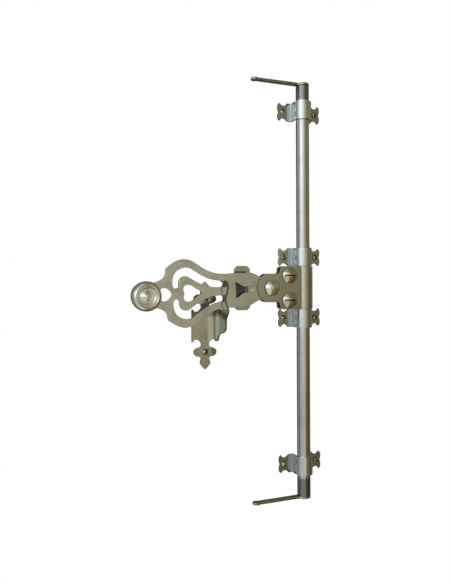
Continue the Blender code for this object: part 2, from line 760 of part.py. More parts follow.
def catch_wing_outline():
    """The folded wing, as (distance from the fold, height): a seat, then the finger in front."""
    seat = CATCH_SEAT
    low = -CATCH_DOWN - CATCH_HALF_HEIGHT
    inner = (WING_FACE - HANDLE_FRONT + 0.0010) / math.cos(CATCH_LEAN)
    return flow([
        (-0.0021, seat, "sharp"),
        (inner - 0.0012, seat, "sharp"),
        (inner, seat + 0.0012, "sharp"),
        (inner, 0.0010, "sharp"),
        (inner + 0.0010, 0.0052),
        (inner + 0.0042, 0.0080, "sharp"),
        (inner + 0.0080, 0.0060),
        (inner + 0.0100, 0.0020),
        (inner + 0.0080, -0.0035),
        (inner + 0.0050, -0.0098),
        (inner + 0.0066, -0.0160),
        (inner + 0.0108, -0.0215),
        (inner + 0.0088, -0.0262),
        (inner + 0.0060, -0.0300, "sharp"),
        (inner + 0.0054, -0.0400, "sharp"),
        (inner + 0.0024, -0.0430),
        (inner - 0.0050, -0.0450, "sharp"),
        (inner - 0.0090, -0.0478),
        (inner - 0.0116, -0.0530, "sharp"),
        (0.0028, low + 0.0003, "sharp"),
        (-0.0021, low + 0.0024, "sharp"),
    ])


def make_catch():
    material = metal("catch_steel", STEEL, 0.26)
    holes = [ring(SCREW_RADIUS + CLEAR, 0, up) for up in (CATCH_SCREW_UP, -CATCH_SCREW_UP)]
    flange = prism("catch", [catch_flange_outline(), *holes], WING_FACE, BOARD, material)
    flange.location = (-CATCH_OUT, 0, -CATCH_DOWN)
    wing = prism("catch_wing", [catch_wing_outline()], 0, SHEET)
    lean = Matrix.Rotation(-math.radians(90) + CATCH_LEAN, 4, "Z")
    wing.matrix_world = Matrix.Translation((-CATCH_FOLD_OUT, WING_FACE, 0)) @ lean
    combine(flange, wing, "UNION")


def main():
    clear_scene()
    rod_axis = make_anchor("rod_axis")
    handle_pivot = make_anchor("handle_pivot", (-PIVOT_OUT, 0, 0))
    handle_pivot.parent = rod_axis
    make_rod(rod_axis)
    make_hooks(rod_axis)
    make_guides()
    make_wood_screws()
    make_hub(rod_axis)
    for name, up in (("upper", CLAMP_UP), ("lower", -CLAMP_UP)):
        make_clamp_screw(f"clamp_screw_{name}", up, rod_axis)
        make_clamp_nut(f"clamp_nut_{name}", up, rod_axis)
    make_pivot_rivet(rod_axis)
    make_handle_plate(handle_pivot)
    make_tongue(handle_pivot)
    make_blind_rivets(handle_pivot)
    make_knob(handle_pivot)
    make_catch()


main()
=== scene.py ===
# Window espagnolette in satin nickel: rod and hooks in screwed guides, swing handle in its catch.
import json
import math

import bmesh
import bpy
from mathutils import Matrix, Vector


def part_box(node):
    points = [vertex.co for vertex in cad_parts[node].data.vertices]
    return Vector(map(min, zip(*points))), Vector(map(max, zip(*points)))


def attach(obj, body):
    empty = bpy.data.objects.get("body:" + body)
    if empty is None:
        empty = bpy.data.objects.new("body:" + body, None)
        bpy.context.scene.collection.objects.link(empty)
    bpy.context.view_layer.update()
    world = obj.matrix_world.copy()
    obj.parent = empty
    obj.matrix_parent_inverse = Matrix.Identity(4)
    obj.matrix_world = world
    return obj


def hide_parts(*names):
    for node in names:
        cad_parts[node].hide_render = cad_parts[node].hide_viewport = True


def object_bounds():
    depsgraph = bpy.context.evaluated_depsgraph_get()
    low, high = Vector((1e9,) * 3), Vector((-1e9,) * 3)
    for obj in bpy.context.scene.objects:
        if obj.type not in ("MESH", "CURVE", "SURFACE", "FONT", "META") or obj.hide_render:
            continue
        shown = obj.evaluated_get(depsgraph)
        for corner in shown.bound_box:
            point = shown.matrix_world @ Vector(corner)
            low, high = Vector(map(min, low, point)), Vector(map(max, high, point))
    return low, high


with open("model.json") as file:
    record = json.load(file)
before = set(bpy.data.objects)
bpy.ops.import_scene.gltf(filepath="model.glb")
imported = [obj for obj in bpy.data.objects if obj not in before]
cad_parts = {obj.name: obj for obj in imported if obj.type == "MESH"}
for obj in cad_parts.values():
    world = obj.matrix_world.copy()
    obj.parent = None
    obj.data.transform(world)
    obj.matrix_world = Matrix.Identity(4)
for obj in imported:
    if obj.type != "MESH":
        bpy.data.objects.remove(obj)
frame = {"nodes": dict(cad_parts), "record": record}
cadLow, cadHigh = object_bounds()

bodies = frame["record"]["behaviour"]["bodies"]
bodyOf = {node: body for body, members in bodies.items() for node in members}
axisOf = {"y": Vector((0, 1, 0)), "z": Vector((0, 0, 1))}


# Node helpers


def addNode(tree, kind, values=None, **settings):
    made = tree.nodes.new(kind)
    for key, value in settings.items():
        setattr(made, key, value)
    for key, value in (values or {}).items():
        if isinstance(value, bpy.types.NodeSocket):
            tree.links.new(value, made.inputs[key])
        else:
            made.inputs[key].default_value = value
    return made


def math2(tree, operation, a, b=0.0, clamp=False):
    values = {0: a, 1: b}
    return addNode(tree, "ShaderNodeMath", values, operation=operation, use_clamp=clamp).outputs[0]


def timesVector(tree, vector, scale):
    return addNode(tree, "ShaderNodeVectorMath", {0: vector, 1: scale}, operation="MULTIPLY").outputs[0]


def ramped(tree, value, low, high, start=0.0, end=1.0):
    values = {"Value": value, "From Min": low, "From Max": high, "To Min": start, "To Max": end}
    return addNode(tree, "ShaderNodeMapRange", values, interpolation_type="SMOOTHSTEP").outputs[0]


def mixedColour(tree, factor, a, b):
    made = addNode(tree, "ShaderNodeMix", {0: factor}, data_type="RGBA")
    for index, value in ((6, a), (7, b)):
        if isinstance(value, bpy.types.NodeSocket):
            tree.links.new(value, made.inputs[index])
        else:
            made.inputs[index].default_value = (*value, 1)
    return made.outputs[2]


def newGroup(name, inputs, outputs):
    group = bpy.data.node_groups.new(name, "ShaderNodeTree")
    for label, kind, value in inputs:
        socket = group.interface.new_socket(label, in_out="INPUT", socket_type=kind)
        if value is not None:
            socket.default_value = value
    for label, kind in outputs:
        group.interface.new_socket(label, in_out="OUTPUT", socket_type=kind)
    return group, group.nodes.new("NodeGroupInput").outputs, group.nodes.new("NodeGroupOutput").inputs


vectorKind, numberKind = "NodeSocketVector", "NodeSocketFloat"


# Surface effects shared by the finishes

effectSet = {
    "grainContrast": (0.3, 0.7), "ringContrast": (0.32, 0.68), "cloudSpread": 0.3,
    "markRuns": ((0.5, (14, 14, 1)), (-0.9, (1, 14, 16)), (1.4, (12, 12, 1))),  # (turn, stretch)
    "markWidth": 0.012, "markPatches": 180, "markShare": (0.52, 0.66),
    "wearPatches": 260, "wearShare": (0.3, 0.55),
}


def makeGrain():  # fine lines left by the polishing belt
    group, given, out = newGroup(
        "beltGrain",
        [("Vector", vectorKind, None), ("Stretch", vectorKind, (60, 60, 4000)), ("Detail", numberKind, 3)],
        [("Lines", numberKind)],
    )
    stretched = timesVector(group, given[0], given[1])
    noise = addNode(group, "ShaderNodeTexNoise", {"Vector": stretched, "Scale": 1, "Detail": given[2]})
    group.links.new(ramped(group, noise.outputs[0], *effectSet["grainContrast"]), out[0])
    return group


def makeRings():  # lathe rings round a turned piece's own axis
    group, given, out = newGroup(
        "latheRings",
        [("Vector", vectorKind, None), ("Across", vectorKind, (1, 0, 1)), ("Pitch", numberKind, 3200)],
        [("Rings", numberKind)],
    )
    flat = timesVector(group, given[0], given[1])
    far = addNode(group, "ShaderNodeVectorMath", {0: flat}, operation="LENGTH").outputs[1]
    count = math2(group, "MULTIPLY", far, given[2])
    values = {"W": count, "Scale": 1, "Detail": 2}
    noise = addNode(group, "ShaderNodeTexNoise", values, noise_dimensions="1D")
    group.links.new(ramped(group, noise.outputs[0], *effectSet["ringContrast"]), out[0])
    return group


def makeClouds():  # uneven dulling of old plating
    group, given, out = newGroup(
        "dullClouds",
        [("Vector", vectorKind, None), ("Scale", numberKind, 70), ("Clear", numberKind, 0.42)],
        [("Mask", numberKind)],
    )
    noise = addNode(group, "ShaderNodeTexNoise", {"Vector": given[0], "Scale": given[1], "Detail": 5})
    top = math2(group, "ADD", given[2], effectSet["cloudSpread"])
    group.links.new(ramped(group, noise.outputs[0], given[2], top), out[0])
    return group


def makeScratches():  # short random marks from handling
    group, given, out = newGroup(
        "handlingMarks",
        [("Vector", vectorKind, None), ("Scale", numberKind, 120)],
        [("Mask", numberKind)],
    )
    found = None
    for turn, stretch in effectSet["markRuns"]:
        turned = addNode(
            group, "ShaderNodeVectorRotate", {"Vector": given[0], "Angle": turn}, rotation_type="Y_AXIS"
        ).outputs[0]
        drawn = timesVector(group, turned, stretch)
        noise = addNode(group, "ShaderNodeTexNoise", {"Vector": drawn, "Scale": given[1], "Detail": 1})
        line = math2(group, "ABSOLUTE", math2(group, "SUBTRACT", noise.outputs[0], 0.5))
        thin = ramped(group, line, effectSet["markWidth"], 0.0)
        found = thin if found is None else math2(group, "MAXIMUM", found, thin)
    values = {"Vector": given[0], "Scale": effectSet["markPatches"]}
    patches = addNode(group, "ShaderNodeTexNoise", values).outputs[0]
    kept = math2(group, "MULTIPLY", found, ramped(group, patches, *effectSet["markShare"]))
    group.links.new(kept, out[0])
    return group


def makeWornEdges():  # rubbed arrises, broken up so that they are not drawn with a ruler
    group, given, out = newGroup(
        "wornEdges", [("Vector", vectorKind, None), ("Wear", numberKind, 0.8)], [("Mask", numberKind)]
    )
    edge = addNode(group, "ShaderNodeAttribute", attribute_name="arris").outputs["Fac"]
    values = {"Vector": given[0], "Scale": effectSet["wearPatches"], "Detail": 3}
    noise = addNode(group, "ShaderNodeTexNoise", values)
    patchy = ramped(group, noise.outputs[0], *effectSet["wearShare"])
    worn = math2(group, "MULTIPLY", edge, patchy)
    group.links.new(math2(group, "MULTIPLY", worn, given[1]), out[0])
    return group


effects = {
    "grain": makeGrain(),
    "rings": makeRings(),
    "clouds": makeClouds(),
    "marks": makeScratches(),
    "edges": makeWornEdges(),
}


# Finishes. Colours are linear; rough is for a clean place and a dulled one.

finishes = {
    "satinNickel": {
        "clean": (0.63, 0.615, 0.535), "dull": (0.55, 0.53, 0.44), "bright": (0.72, 0.71, 0.67),
        "rough": (0.08, 0.13), "stretch": (3600, 400, 70), "cloudScale": 75, "clear": 0.44,
        "wear": 0.25, "grainHeight": 0.02, "swell": 0.02, "swellScale": 90, "lines": 0.22,
    },
    "rodSteel": {
        "clean": (0.66, 0.66, 0.64), "dull": (0.57, 0.565, 0.53), "bright": (0.74, 0.74, 0.71),
        "rough": (0.06, 0.10), "stretch": (2600, 2600, 16), "cloudScale": 60, "clear": 0.46,
        "wear": 0.8, "grainHeight": 0.008, "swell": 0.005, "swellScale": 60, "lines": 0.22,
    },
    "hookNickel": {
        "clean": (0.40, 0.38, 0.30), "dull": (0.28, 0.26, 0.19), "bright": (0.74, 0.73, 0.69),
        "rough": (0.12, 0.20), "stretch": (90, 2400, 2400), "cloudScale": 90, "clear": 0.42,
        "wear": 1.0, "grainHeight": 0.02, "swell": 0.02, "swellScale": 90, "lines": 0.22,
    },
    "handleNickel": {
        "clean": (0.76, 0.755, 0.72), "dull": (0.66, 0.65, 0.60), "bright": (0.86, 0.85, 0.82),
        "rough": (0.14, 0.21), "stretch": (90, 400, 3600), "cloudScale": 80, "clear": 0.44,
        "wear": 0.9, "grainHeight": 0.03, "swell": 0.03, "swellScale": 80, "lines": 0.22,
    },
    "knobNickel": {
        "clean": (0.92, 0.91, 0.87), "dull": (0.78, 0.765, 0.69), "bright": (0.94, 0.93, 0.90),
        "rough": (0.08, 0.13), "pitch": 2600, "cloudScale": 110, "clear": 0.46,
        "wear": 0.7, "grainHeight": 0.010, "swell": 0.012, "swellScale": 120, "lines": 0.08,
    },
    "screwSteel": {
        "clean": (0.66, 0.64, 0.56), "dull": (0.11, 0.10, 0.07), "bright": (0.82, 0.81, 0.76),
        "rough": (0.06, 0.20), "pitch": 5200, "cloudScale": 240, "clear": 0.40,
        "wear": 0.9, "grainHeight": 0.04, "swell": 0.03, "swellScale": 200, "lines": 0.22,
    },
    "headNickel": {
        "clean": (0.74, 0.71, 0.53), "dull": (0.54, 0.505, 0.34), "bright": (0.78, 0.77, 0.68),
        "rough": (0.06, 0.12), "pitch": 4600, "cloudScale": 150, "clear": 0.44,
        "wear": 0.8, "grainHeight": 0.03, "swell": 0.02, "swellScale": 160, "lines": 0.22,
    },
}
# painted shade: the dark colour and roughness given to slot insides and to the brim round domed heads
paintedShade = {"colour": (0.05, 0.045, 0.03), "rough": 0.55}
finishMix = {  # what lines, marks and worn edges add to the roughness, and how deep the relief is
    "linesRough": 0.05, "marksRough": 0.14, "edgesRough": 0.04, "marksDepth": 0.8,
    "swellDistance": 0.002, "reliefDistance": 0.0002,
}


def placeEffect(tree, name, values):
    made = addNode(tree, "ShaderNodeGroup")
    made.node_tree = effects[name]
    for key, value in values.items():
        if isinstance(value, bpy.types.NodeSocket):
            tree.links.new(value, made.inputs[key])
        else:
            made.inputs[key].default_value = value
    return made.outputs[0]


def insideBox(tree, place, low, high, soft):  # 1 between the two corners
    share = None
    apart = addNode(tree, "ShaderNodeSeparateXYZ", {0: place}).outputs
    for axis in range(3):
        above = ramped(tree, apart[axis], low[axis] - soft, low[axis])
        under = ramped(tree, apart[axis], high[axis], high[axis] + soft, 1.0, 0.0)
        both = math2(tree, "MULTIPLY", above, under)
        share = both if share is None else math2(tree, "MULTIPLY", share, both)
    return share


def makeFinish(name, finish, centre=(0, 0, 0), paintedTones=()):
    look = finishes[finish]
    material = bpy.data.materials.new(name)
    material.use_nodes = True
    tree = material.node_tree
    shader = tree.nodes["Principled BSDF"]
    shader.inputs["Metallic"].default_value = 1.0
    place = addNode(tree, "ShaderNodeTexCoord").outputs["Object"]
    own = addNode(tree, "ShaderNodeMapping", {"Vector": place, "Location": [-c for c in centre]}).outputs[0]
    if "pitch" in look:
        lines = placeEffect(tree, "rings", {"Vector": own, "Pitch": look["pitch"]})
    else:
        lines = placeEffect(tree, "grain", {"Vector": own, "Stretch": look["stretch"]})
    cloudy = {"Vector": own, "Scale": look["cloudScale"], "Clear": look["clear"]}
    clouds = placeEffect(tree, "clouds", cloudy)
    marks = placeEffect(tree, "marks", {"Vector": own})
    edges = placeEffect(tree, "edges", {"Vector": own, "Wear": look["wear"]})

    colour = mixedColour(tree, clouds, look["clean"], look["dull"])
    colour = mixedColour(tree, math2(tree, "MULTIPLY", lines, look["lines"]), colour, look["dull"])
    colour = mixedColour(tree, edges, colour, look["bright"])
    # painted shade on the faces marked inside slots and round domed heads
    shadeMark = addNode(tree, "ShaderNodeAttribute", attribute_name="paintedShade").outputs["Fac"]
    colour = mixedColour(tree, shadeMark, colour, paintedShade["colour"])

    clean, dulled = look["rough"]
    rough = ramped(tree, clouds, 0, 1, clean, dulled)
    rough = math2(tree, "ADD", rough, math2(tree, "MULTIPLY", lines, finishMix["linesRough"]))
    rough = math2(tree, "ADD", rough, math2(tree, "MULTIPLY", marks, finishMix["marksRough"]))
    rubbed = math2(tree, "MULTIPLY", edges, finishMix["edgesRough"])
    rough = math2(tree, "SUBTRACT", rough, rubbed, clamp=True)
    rough = math2(tree, "ADD", rough, math2(tree, "MULTIPLY", shadeMark, paintedShade["rough"] - clean), clamp=True)
    # boxes of colour painted over the surface: painted shade, painted highlights and painted reflections,
    # and also the darker rod ends
    for paintedBox in paintedTones:
        boxShare = insideBox(tree, place, paintedBox["low"], paintedBox["high"], paintedBox["soft"])
        colour = mixedColour(tree, boxShare, colour, paintedBox["colour"])
        boxRough = math2(tree, "MULTIPLY", boxShare, paintedBox["rough"])
        rough = math2(tree, "ADD", rough, boxRough, clamp=True)
    tree.links.new(colour, shader.inputs["Base Color"])
    tree.links.new(rough, shader.inputs["Roughness"])

    broad = {"Vector": own, "Scale": look["swellScale"], "Detail": 1}
    swell = addNode(tree, "ShaderNodeTexNoise", broad).outputs[0]
    swelling = addNode(
        tree, "ShaderNodeBump",
        {"Height": swell, "Strength": look["swell"], "Distance": finishMix["swellDistance"]},
    ).outputs[0]
    fine = math2(tree, "SUBTRACT", lines, math2(tree, "MULTIPLY", marks, finishMix["marksDepth"]))
    relief = addNode(
        tree, "ShaderNodeBump",
        {"Height": fine, "Strength": look["grainHeight"], "Distance": finishMix["reliefDistance"],
         "Normal": swelling},
    ).outputs[0]
    tree.links.new(relief, shader.inputs["Normal"])
    return material


# Making and finishing pieces

meshSet = {
    "weld": 1e-6, "cadWeld": 3e-6, "sliver": 2e-5, "flat": math.radians(0.4),  # joining and cleaning
    "edgeAngle": 28, "headAngle": 40, "knobAngle": 50,  # only edges sharper than this are rounded
    "shadeAngle": math.radians(50), "shadeWeight": 80,
    "clear": 0.0003,  # gap that touching pieces keep
    "brimReach": 0.0001, "slotFit": 1e-5, "slotOver": 1.5,  # how faces that get painted shade are found; a slot's overrun
}


def markArrises(bm, faces):
    layer = bm.loops.layers.float.get("arris") or bm.loops.layers.float.new("arris")
    for face in faces:
        for loop in face.loops:
            loop[layer] = 1.0


def roundEdges(bm, width, segments, least=meshSet["edgeAngle"]):
    joined = [edge for edge in bm.edges if len(edge.link_faces) == 2]
    sharp = [edge for edge in joined if edge.calc_face_angle(0) > math.radians(least)]
    made = bmesh.ops.bevel(
        bm, geom=sharp, offset=width, offset_type="OFFSET", affect="EDGES", segments=segments,
        profile=0.5, material=-1, clamp_overlap=True,
    )
    markArrises(bm, made["faces"])
    return bm


def markBrim(bm, middle, radius, level):  # painted shade round the edge of a domed head
    shadeMark = bm.loops.layers.float.get("paintedShade") or bm.loops.layers.float.new("paintedShade")
    for face in bm.faces:
        place = face.calc_center_median()
        out = math.hypot(place.x - middle.x, place.z - middle.z)
        if out > radius - meshSet["brimReach"] and place.y > level:
            for loop in face.loops:
                loop[shadeMark] = 1.0


def finishPiece(bm, name, material, standsFor, body):
    mesh = bpy.data.meshes.new(name)
    bm.to_mesh(mesh)
    bm.free()
    mesh.shade_smooth()
    mesh.set_sharp_from_angle(angle=meshSet["shadeAngle"])
    mesh.materials.append(material)
    piece = bpy.data.objects.new(name, mesh)
    bpy.context.scene.collection.objects.link(piece)
    level = piece.modifiers.new("evenShading", "WEIGHTED_NORMAL")
    level.keep_sharp = True
    level.weight = meshSet["shadeWeight"]
    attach(piece, body)
    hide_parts(standsFor)
    return piece


def softened(node, name, finish, width, segments=2, centre=(0, 0, 0), paintedTones=()):
    bm = bmesh.new()
    bm.from_mesh(frame["nodes"][node].data)
    bmesh.ops.remove_doubles(bm, verts=bm.verts, dist=meshSet["cadWeld"])
    bmesh.ops.dissolve_degenerate(bm, edges=bm.edges, dist=meshSet["sliver"])
    bmesh.ops.dissolve_limit(bm, angle_limit=meshSet["flat"], verts=bm.verts, edges=bm.edges)
    roundEdges(bm, width, segments)
    material = makeFinish(f"{name}Finish", finish, centre, paintedTones=paintedTones)
    return finishPiece(bm, name, material, node, bodyOf[node])


def spun(profile, place, axis, steps):
    bm = bmesh.new()
    line = []
    for radius, level in profile:
        point = Vector((radius, level, 0)) if axis == "y" else Vector((radius, 0, level))
        line.append(bm.verts.new(point + Vector(place)))
    edges = [bm.edges.new(pair) for pair in zip(line, line[1:])]
    bmesh.ops.spin(
        bm, geom=line + edges, cent=place, axis=axisOf[axis], dvec=(0, 0, 0),
        angle=2 * math.pi, steps=steps, use_merge=True, use_duplicate=False,
    )
    bmesh.ops.remove_doubles(bm, verts=bm.verts, dist=meshSet["weld"])
    bmesh.ops.recalc_face_normals(bm, faces=bm.faces)
    return bm


def domed(radius, height, level, steps):  # crown to rim, rising towards the viewer
    ball = (radius**2 + height**2) / (2 * height)
    sweep = math.asin(min(1.0, radius / ball))
    found = []
    for step in range(steps + 1):
        angle = sweep * step / steps
        found.append((ball * math.sin(angle), level + ball - height - ball * math.cos(angle)))
    return found


def domedTail(radius, height, level, steps):  # rim to crown, rising away from the viewer
    return [(out, level - (place - level)) for out, place in reversed(domed(radius, height, level, steps))]


def centreOf(node):
    low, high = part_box(node)
    return (low + high) / 2, low, high


def cutSlot(bm, low, high, turn=0.0):  # a saw cut across a screw's head
    blank = bpy.data.meshes.new("slotBlank")
    bm.to_mesh(blank)
    bm.free()
    head = bpy.data.objects.new("slotHead", blank)
    saw = bmesh.new()
    bmesh.ops.create_cube(saw, size=1)
    size, middle = Vector(high) - Vector(low), (Vector(high) + Vector(low)) / 2
    bmesh.ops.scale(saw, verts=saw.verts, vec=size)
    bmesh.ops.rotate(saw, verts=saw.verts, matrix=Matrix.Rotation(turn, 3, "Y"), cent=(0, 0, 0))
    bmesh.ops.translate(saw, verts=saw.verts, vec=middle)
    blade = bpy.data.meshes.new("slotBlade")
    saw.to_mesh(blade)
    saw.free()
    cutter = bpy.data.objects.new("slotSaw", blade)
    for item in (head, cutter):
        bpy.context.scene.collection.objects.link(item)
    cut = head.modifiers.new("slot", "BOOLEAN")
    cut.operation, cut.solver, cut.object = "DIFFERENCE", "EXACT", cutter
    result = bmesh.new()
    result.from_object(head, bpy.context.evaluated_depsgraph_get())
    for item in (head, cutter):
        bpy.data.objects.remove(item)
    bmesh.ops.remove_doubles(result, verts=result.verts, dist=meshSet["weld"])
    # painted shade on the faces inside the slot
    shadeMark = result.loops.layers.float.new("paintedShade")
    back = Matrix.Rotation(-turn, 3, "Y")
    half = [side / 2 + meshSet["slotFit"] for side in size]
    for face in result.faces:
        reach = [back @ (vertex.co - middle) for vertex in face.verts]
        if all(abs(point[axis]) < half[axis] for point in reach for axis in range(3)):
            for loop in face.loops:
                loop[shadeMark] = 1.0
    return result


# Rod

rodSet = {
    "spigot": 0.0045, "arris": 0.0004, "steps": 96, "peen": 0.0005,
    "peenShares": (0.35, 0.7, 0.9, 1),
    # the rod painted darker near both ends
    "endBands": [
        {"low": (-1, -1, low), "high": (1, 1, high), "soft": 0.004,
         "colour": (0.26, 0.275, 0.27), "rough": 0.0}
        for low, high in ((0.200, 1), (-1, -0.203))
    ],
}


def makeRod():
    middle, low, high = centreOf("rod")
    radius = (high.x - low.x) / 2
    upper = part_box("top_hook")[0].z - meshSet["clear"]
    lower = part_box("bottom_hook")[1].z + meshSet["clear"]
    spigot, peen, shares = rodSet["spigot"], rodSet["peen"], rodSet["peenShares"]
    profile = [(0, high.z)] + [(spigot * share, high.z - peen * share * share) for share in shares]
    profile += [(spigot, upper), (radius, upper), (radius, lower), (spigot, lower)]
    profile += [(spigot * share, low.z + peen * share * share) for share in reversed(shares)]
    profile += [(0, low.z)]
    bm = spun(profile, (middle.x, middle.y, 0), "z", rodSet["steps"])
    roundEdges(bm, rodSet["arris"], 2)
    finish = makeFinish("drawnRodFinish", "rodSteel", paintedTones=rodSet["endBands"])
    finishPiece(bm, "drawnRod", finish, "rod", bodyOf["rod"])


# Hooks

hookSet = {"arris": 0.0006, "segments": 3}


def makeHooks():
    for node, name in (("top_hook", "upperHook"), ("bottom_hook", "lowerHook")):
        softened(node, name, "hookNickel", hookSet["arris"], hookSet["segments"])


# Guides and their screws

guideSet = {
    "arris": 0.00035, "segments": 2,
    # painted reflection: a bluish stripe on each wing beside the barrel
    "padReflections": [
        {"low": (side * 0.0126 - 0.0024, 0.0066, -1), "high": (side * 0.0126 + 0.0024, 0.02, 1),
         "soft": 0.0008, "colour": (0.40, 0.45, 0.47), "rough": 0.0}
        for side in (-1, 1)
    ],
    # painted highlight: the barrel painted brighter
    "barrelShine": {"low": (-0.0098, -1, -1), "high": (0.0098, 0.0066, 1), "soft": 0.0008,
                    "colour": (0.72, 0.73, 0.73), "rough": 0.0},
}
woodScrewSet = {
    "head": 0.0033, "crown": 0.0019, "crownSteps": 8, "shank": 0.00145, "steps": 40,
    "core": 0.00105, "plain": 0.0028, "threadFrom": 0.0030, "coreFrom": 0.0034,  # behind the head
    "point": 0.003, "tip": 0.0009, "tipRadius": 0.0006, "threadEnd": 0.0016, "pitch": 0.0013,
    "slotWide": 0.0011, "slotDeep": 0.0012, "arris": 0.00012, "segments": 2,
    "turns": {  # how far each slot is turned
        "top": (24, -38), "upper": (8, 62), "lower": (-20, 35), "bottom": (-66, 12), "catch": (30, -52),
    },
}
threadSet = {"steps": 20, "root": 0.8, "halfWidth": 0.28, "taperFrom": 0.55, "taper": 1.2, "least": 0.45}


def makeGuides():
    # painted reflections on the wings and a painted highlight on the barrel
    paintedLightAndShade = [*guideSet["padReflections"], guideSet["barrelShine"]]
    for place in ("top", "upper", "lower", "bottom"):
        softened(f"{place}_guide", f"{place}Guide", "satinNickel", guideSet["arris"], guideSet["segments"],
                 paintedTones=paintedLightAndShade)


def slotAcross(bm, middle, front, sizes, turn=0.0):  # a slot across the whole head
    wide, deep, reach = sizes["slotWide"] / 2, sizes["slotDeep"], sizes["head"] * meshSet["slotOver"]
    low = (middle.x - reach, front - deep, middle.z - wide)
    high = (middle.x + reach, front + deep, middle.z + wide)
    return cutSlot(bm, low, high, turn)


def makeWoodScrew(node, name, turn):
    middle, low, high = centreOf(node)
    sizes = woodScrewSet
    seat, core, shank = low.y + sizes["crown"], sizes["core"], sizes["shank"]
    profile = domed(sizes["head"], sizes["crown"], seat, sizes["crownSteps"])
    profile += [(shank, seat), (shank, seat + sizes["plain"]), (core, seat + sizes["coreFrom"])]
    profile += [(core, high.y - sizes["point"]), (sizes["tipRadius"], high.y - sizes["tip"]), (0, high.y)]
    bm = spun(profile, (middle.x, 0, middle.z), "y", sizes["steps"])
    bm = slotAcross(bm, middle, low.y, sizes, math.radians(turn))
    roundEdges(bm, sizes["arris"], sizes["segments"], meshSet["headAngle"])
    addThread(bm, (middle.x, seat + sizes["threadFrom"], middle.z), core, shank, sizes["pitch"],
              high.y - sizes["threadEnd"] - seat - sizes["threadFrom"])
    finish = makeFinish(f"{name}Finish", "screwSteel", (middle.x, 0, middle.z))
    finishPiece(bm, name, finish, node, bodyOf[node])


def addThread(bm, start, core, crest, pitch, length):  # one ridge wound round the core
    x, y, z = start
    steps, half = threadSet["steps"], pitch * threadSet["halfWidth"]
    root = core * threadSet["root"]
    places = ((x + root, y - half, z), (x + crest, y, z), (x + root, y + half, z))
    corners = [bm.verts.new(place) for place in places]
    face = bm.faces.new(corners)
    before = set(bm.verts)
    count = max(1, round(length / pitch * steps))
    bmesh.ops.spin(
        bm, geom=[face], cent=(x, y, z), axis=(0, 1, 0), dvec=(0, pitch / steps, 0),
        angle=2 * math.pi * count / steps, steps=count, use_merge=False, use_duplicate=False,
    )
    ridge = set(corners) | (set(bm.verts) - before)
    for vertex in ridge:
        past = (vertex.co.y - y) / length - threadSet["taperFrom"]
        thin = 1.0 if past < 0 else max(threadSet["least"], 1.0 - past * threadSet["taper"])
        vertex.co.x = x + (vertex.co.x - x) * thin
        vertex.co.z = z + (vertex.co.z - z) * thin
    faces = [face for face in bm.faces if all(vertex in ridge for vertex in face.verts)]
    bmesh.ops.recalc_face_normals(bm, faces=faces)


def makeWoodScrews():
    for place, turns in woodScrewSet["turns"].items():
        if place == "catch":
            node, name, sides = "catch_screw", "catchScrew", ("upper", "lower")
        else:
            node, name, sides = f"{place}_guide_screw", f"{place}GuideScrew", ("left", "right")
        for side, turn in zip(sides, turns):
            makeWoodScrew(f"{node}_{side}", f"{name}{side.title()}", turn)


# Hub with its clamp screws, nuts and pivot rivet

hubSet = {"arris": 0.0004, "segments": 2}
clampSet = {
    "head": 0.0083, "crown": 0.0042, "crownSteps": 12, "brim": 0.0008, "shank": 0.004,
    "slotWide": 0.0014, "slotDeep": 0.0020,
    "threadFrom": 0.006, "ridges": 9, "pitch": 0.00075, "threadDeep": 0.0004,  # beyond the nut
    "threadEnd": 0.0008, "endTaper": (0.0006, 0.0008), "endBevel": 0.0002,
    "arris": 0.00018, "segments": 2, "steps": 64,
}
nutSet = {"arris": 0.0004, "segments": 2}
pivotSet = {
    "head": 0.0081, "crown": 0.0036, "crownSteps": 12, "brim": 0.0006, "shank": 0.0048,
    "tail": 0.0068, "tailCrown": 0.0024, "tailSteps": 8, "arris": 0.0003, "segments": 2, "steps": 64,
}


def makeHub():
    softened("hub", "clampedHub", "satinNickel", hubSet["arris"], hubSet["segments"])
    for side in ("upper", "lower"):
        makeClampScrew(f"clamp_screw_{side}", f"clampScrew{side.title()}")
        nut = f"clamp_nut_{side}"
        softened(nut, f"clampNut{side.title()}", "screwSteel", nutSet["arris"], nutSet["segments"],
                 centreOf(nut)[0])
    makePivotRivet()


def brimmedDome(sizes, seat):
    return domed(sizes["head"], sizes["crown"] - sizes["brim"], seat - sizes["brim"], sizes["crownSteps"])


def makeClampScrew(node, name):
    middle, low, high = centreOf(node)
    sizes = clampSet
    seat, shank = low.y + sizes["crown"], sizes["shank"]
    profile = brimmedDome(sizes, seat) + [(sizes["head"], seat), (shank, seat)]
    for index in range(sizes["ridges"]):  # thread seen beyond the nut
        level = seat + sizes["threadFrom"] + index * sizes["pitch"]
        if level < high.y - sizes["threadEnd"]:
            profile += [(shank, level), (shank - sizes["threadDeep"], level + sizes["pitch"] / 2)]
    outer, inner = sizes["endTaper"]
    profile += [(shank - outer, high.y - sizes["endBevel"]), (shank - inner, high.y), (0, high.y)]
    bm = spun(profile, (middle.x, 0, middle.z), "y", sizes["steps"])
    bm = slotAcross(bm, middle, low.y, sizes)
    markBrim(bm, middle, sizes["head"], seat - sizes["brim"])
    roundEdges(bm, sizes["arris"], sizes["segments"], meshSet["headAngle"])
    finish = makeFinish(f"{name}Finish", "headNickel", (middle.x, 0, middle.z))
    finishPiece(bm, name, finish, node, bodyOf[node])


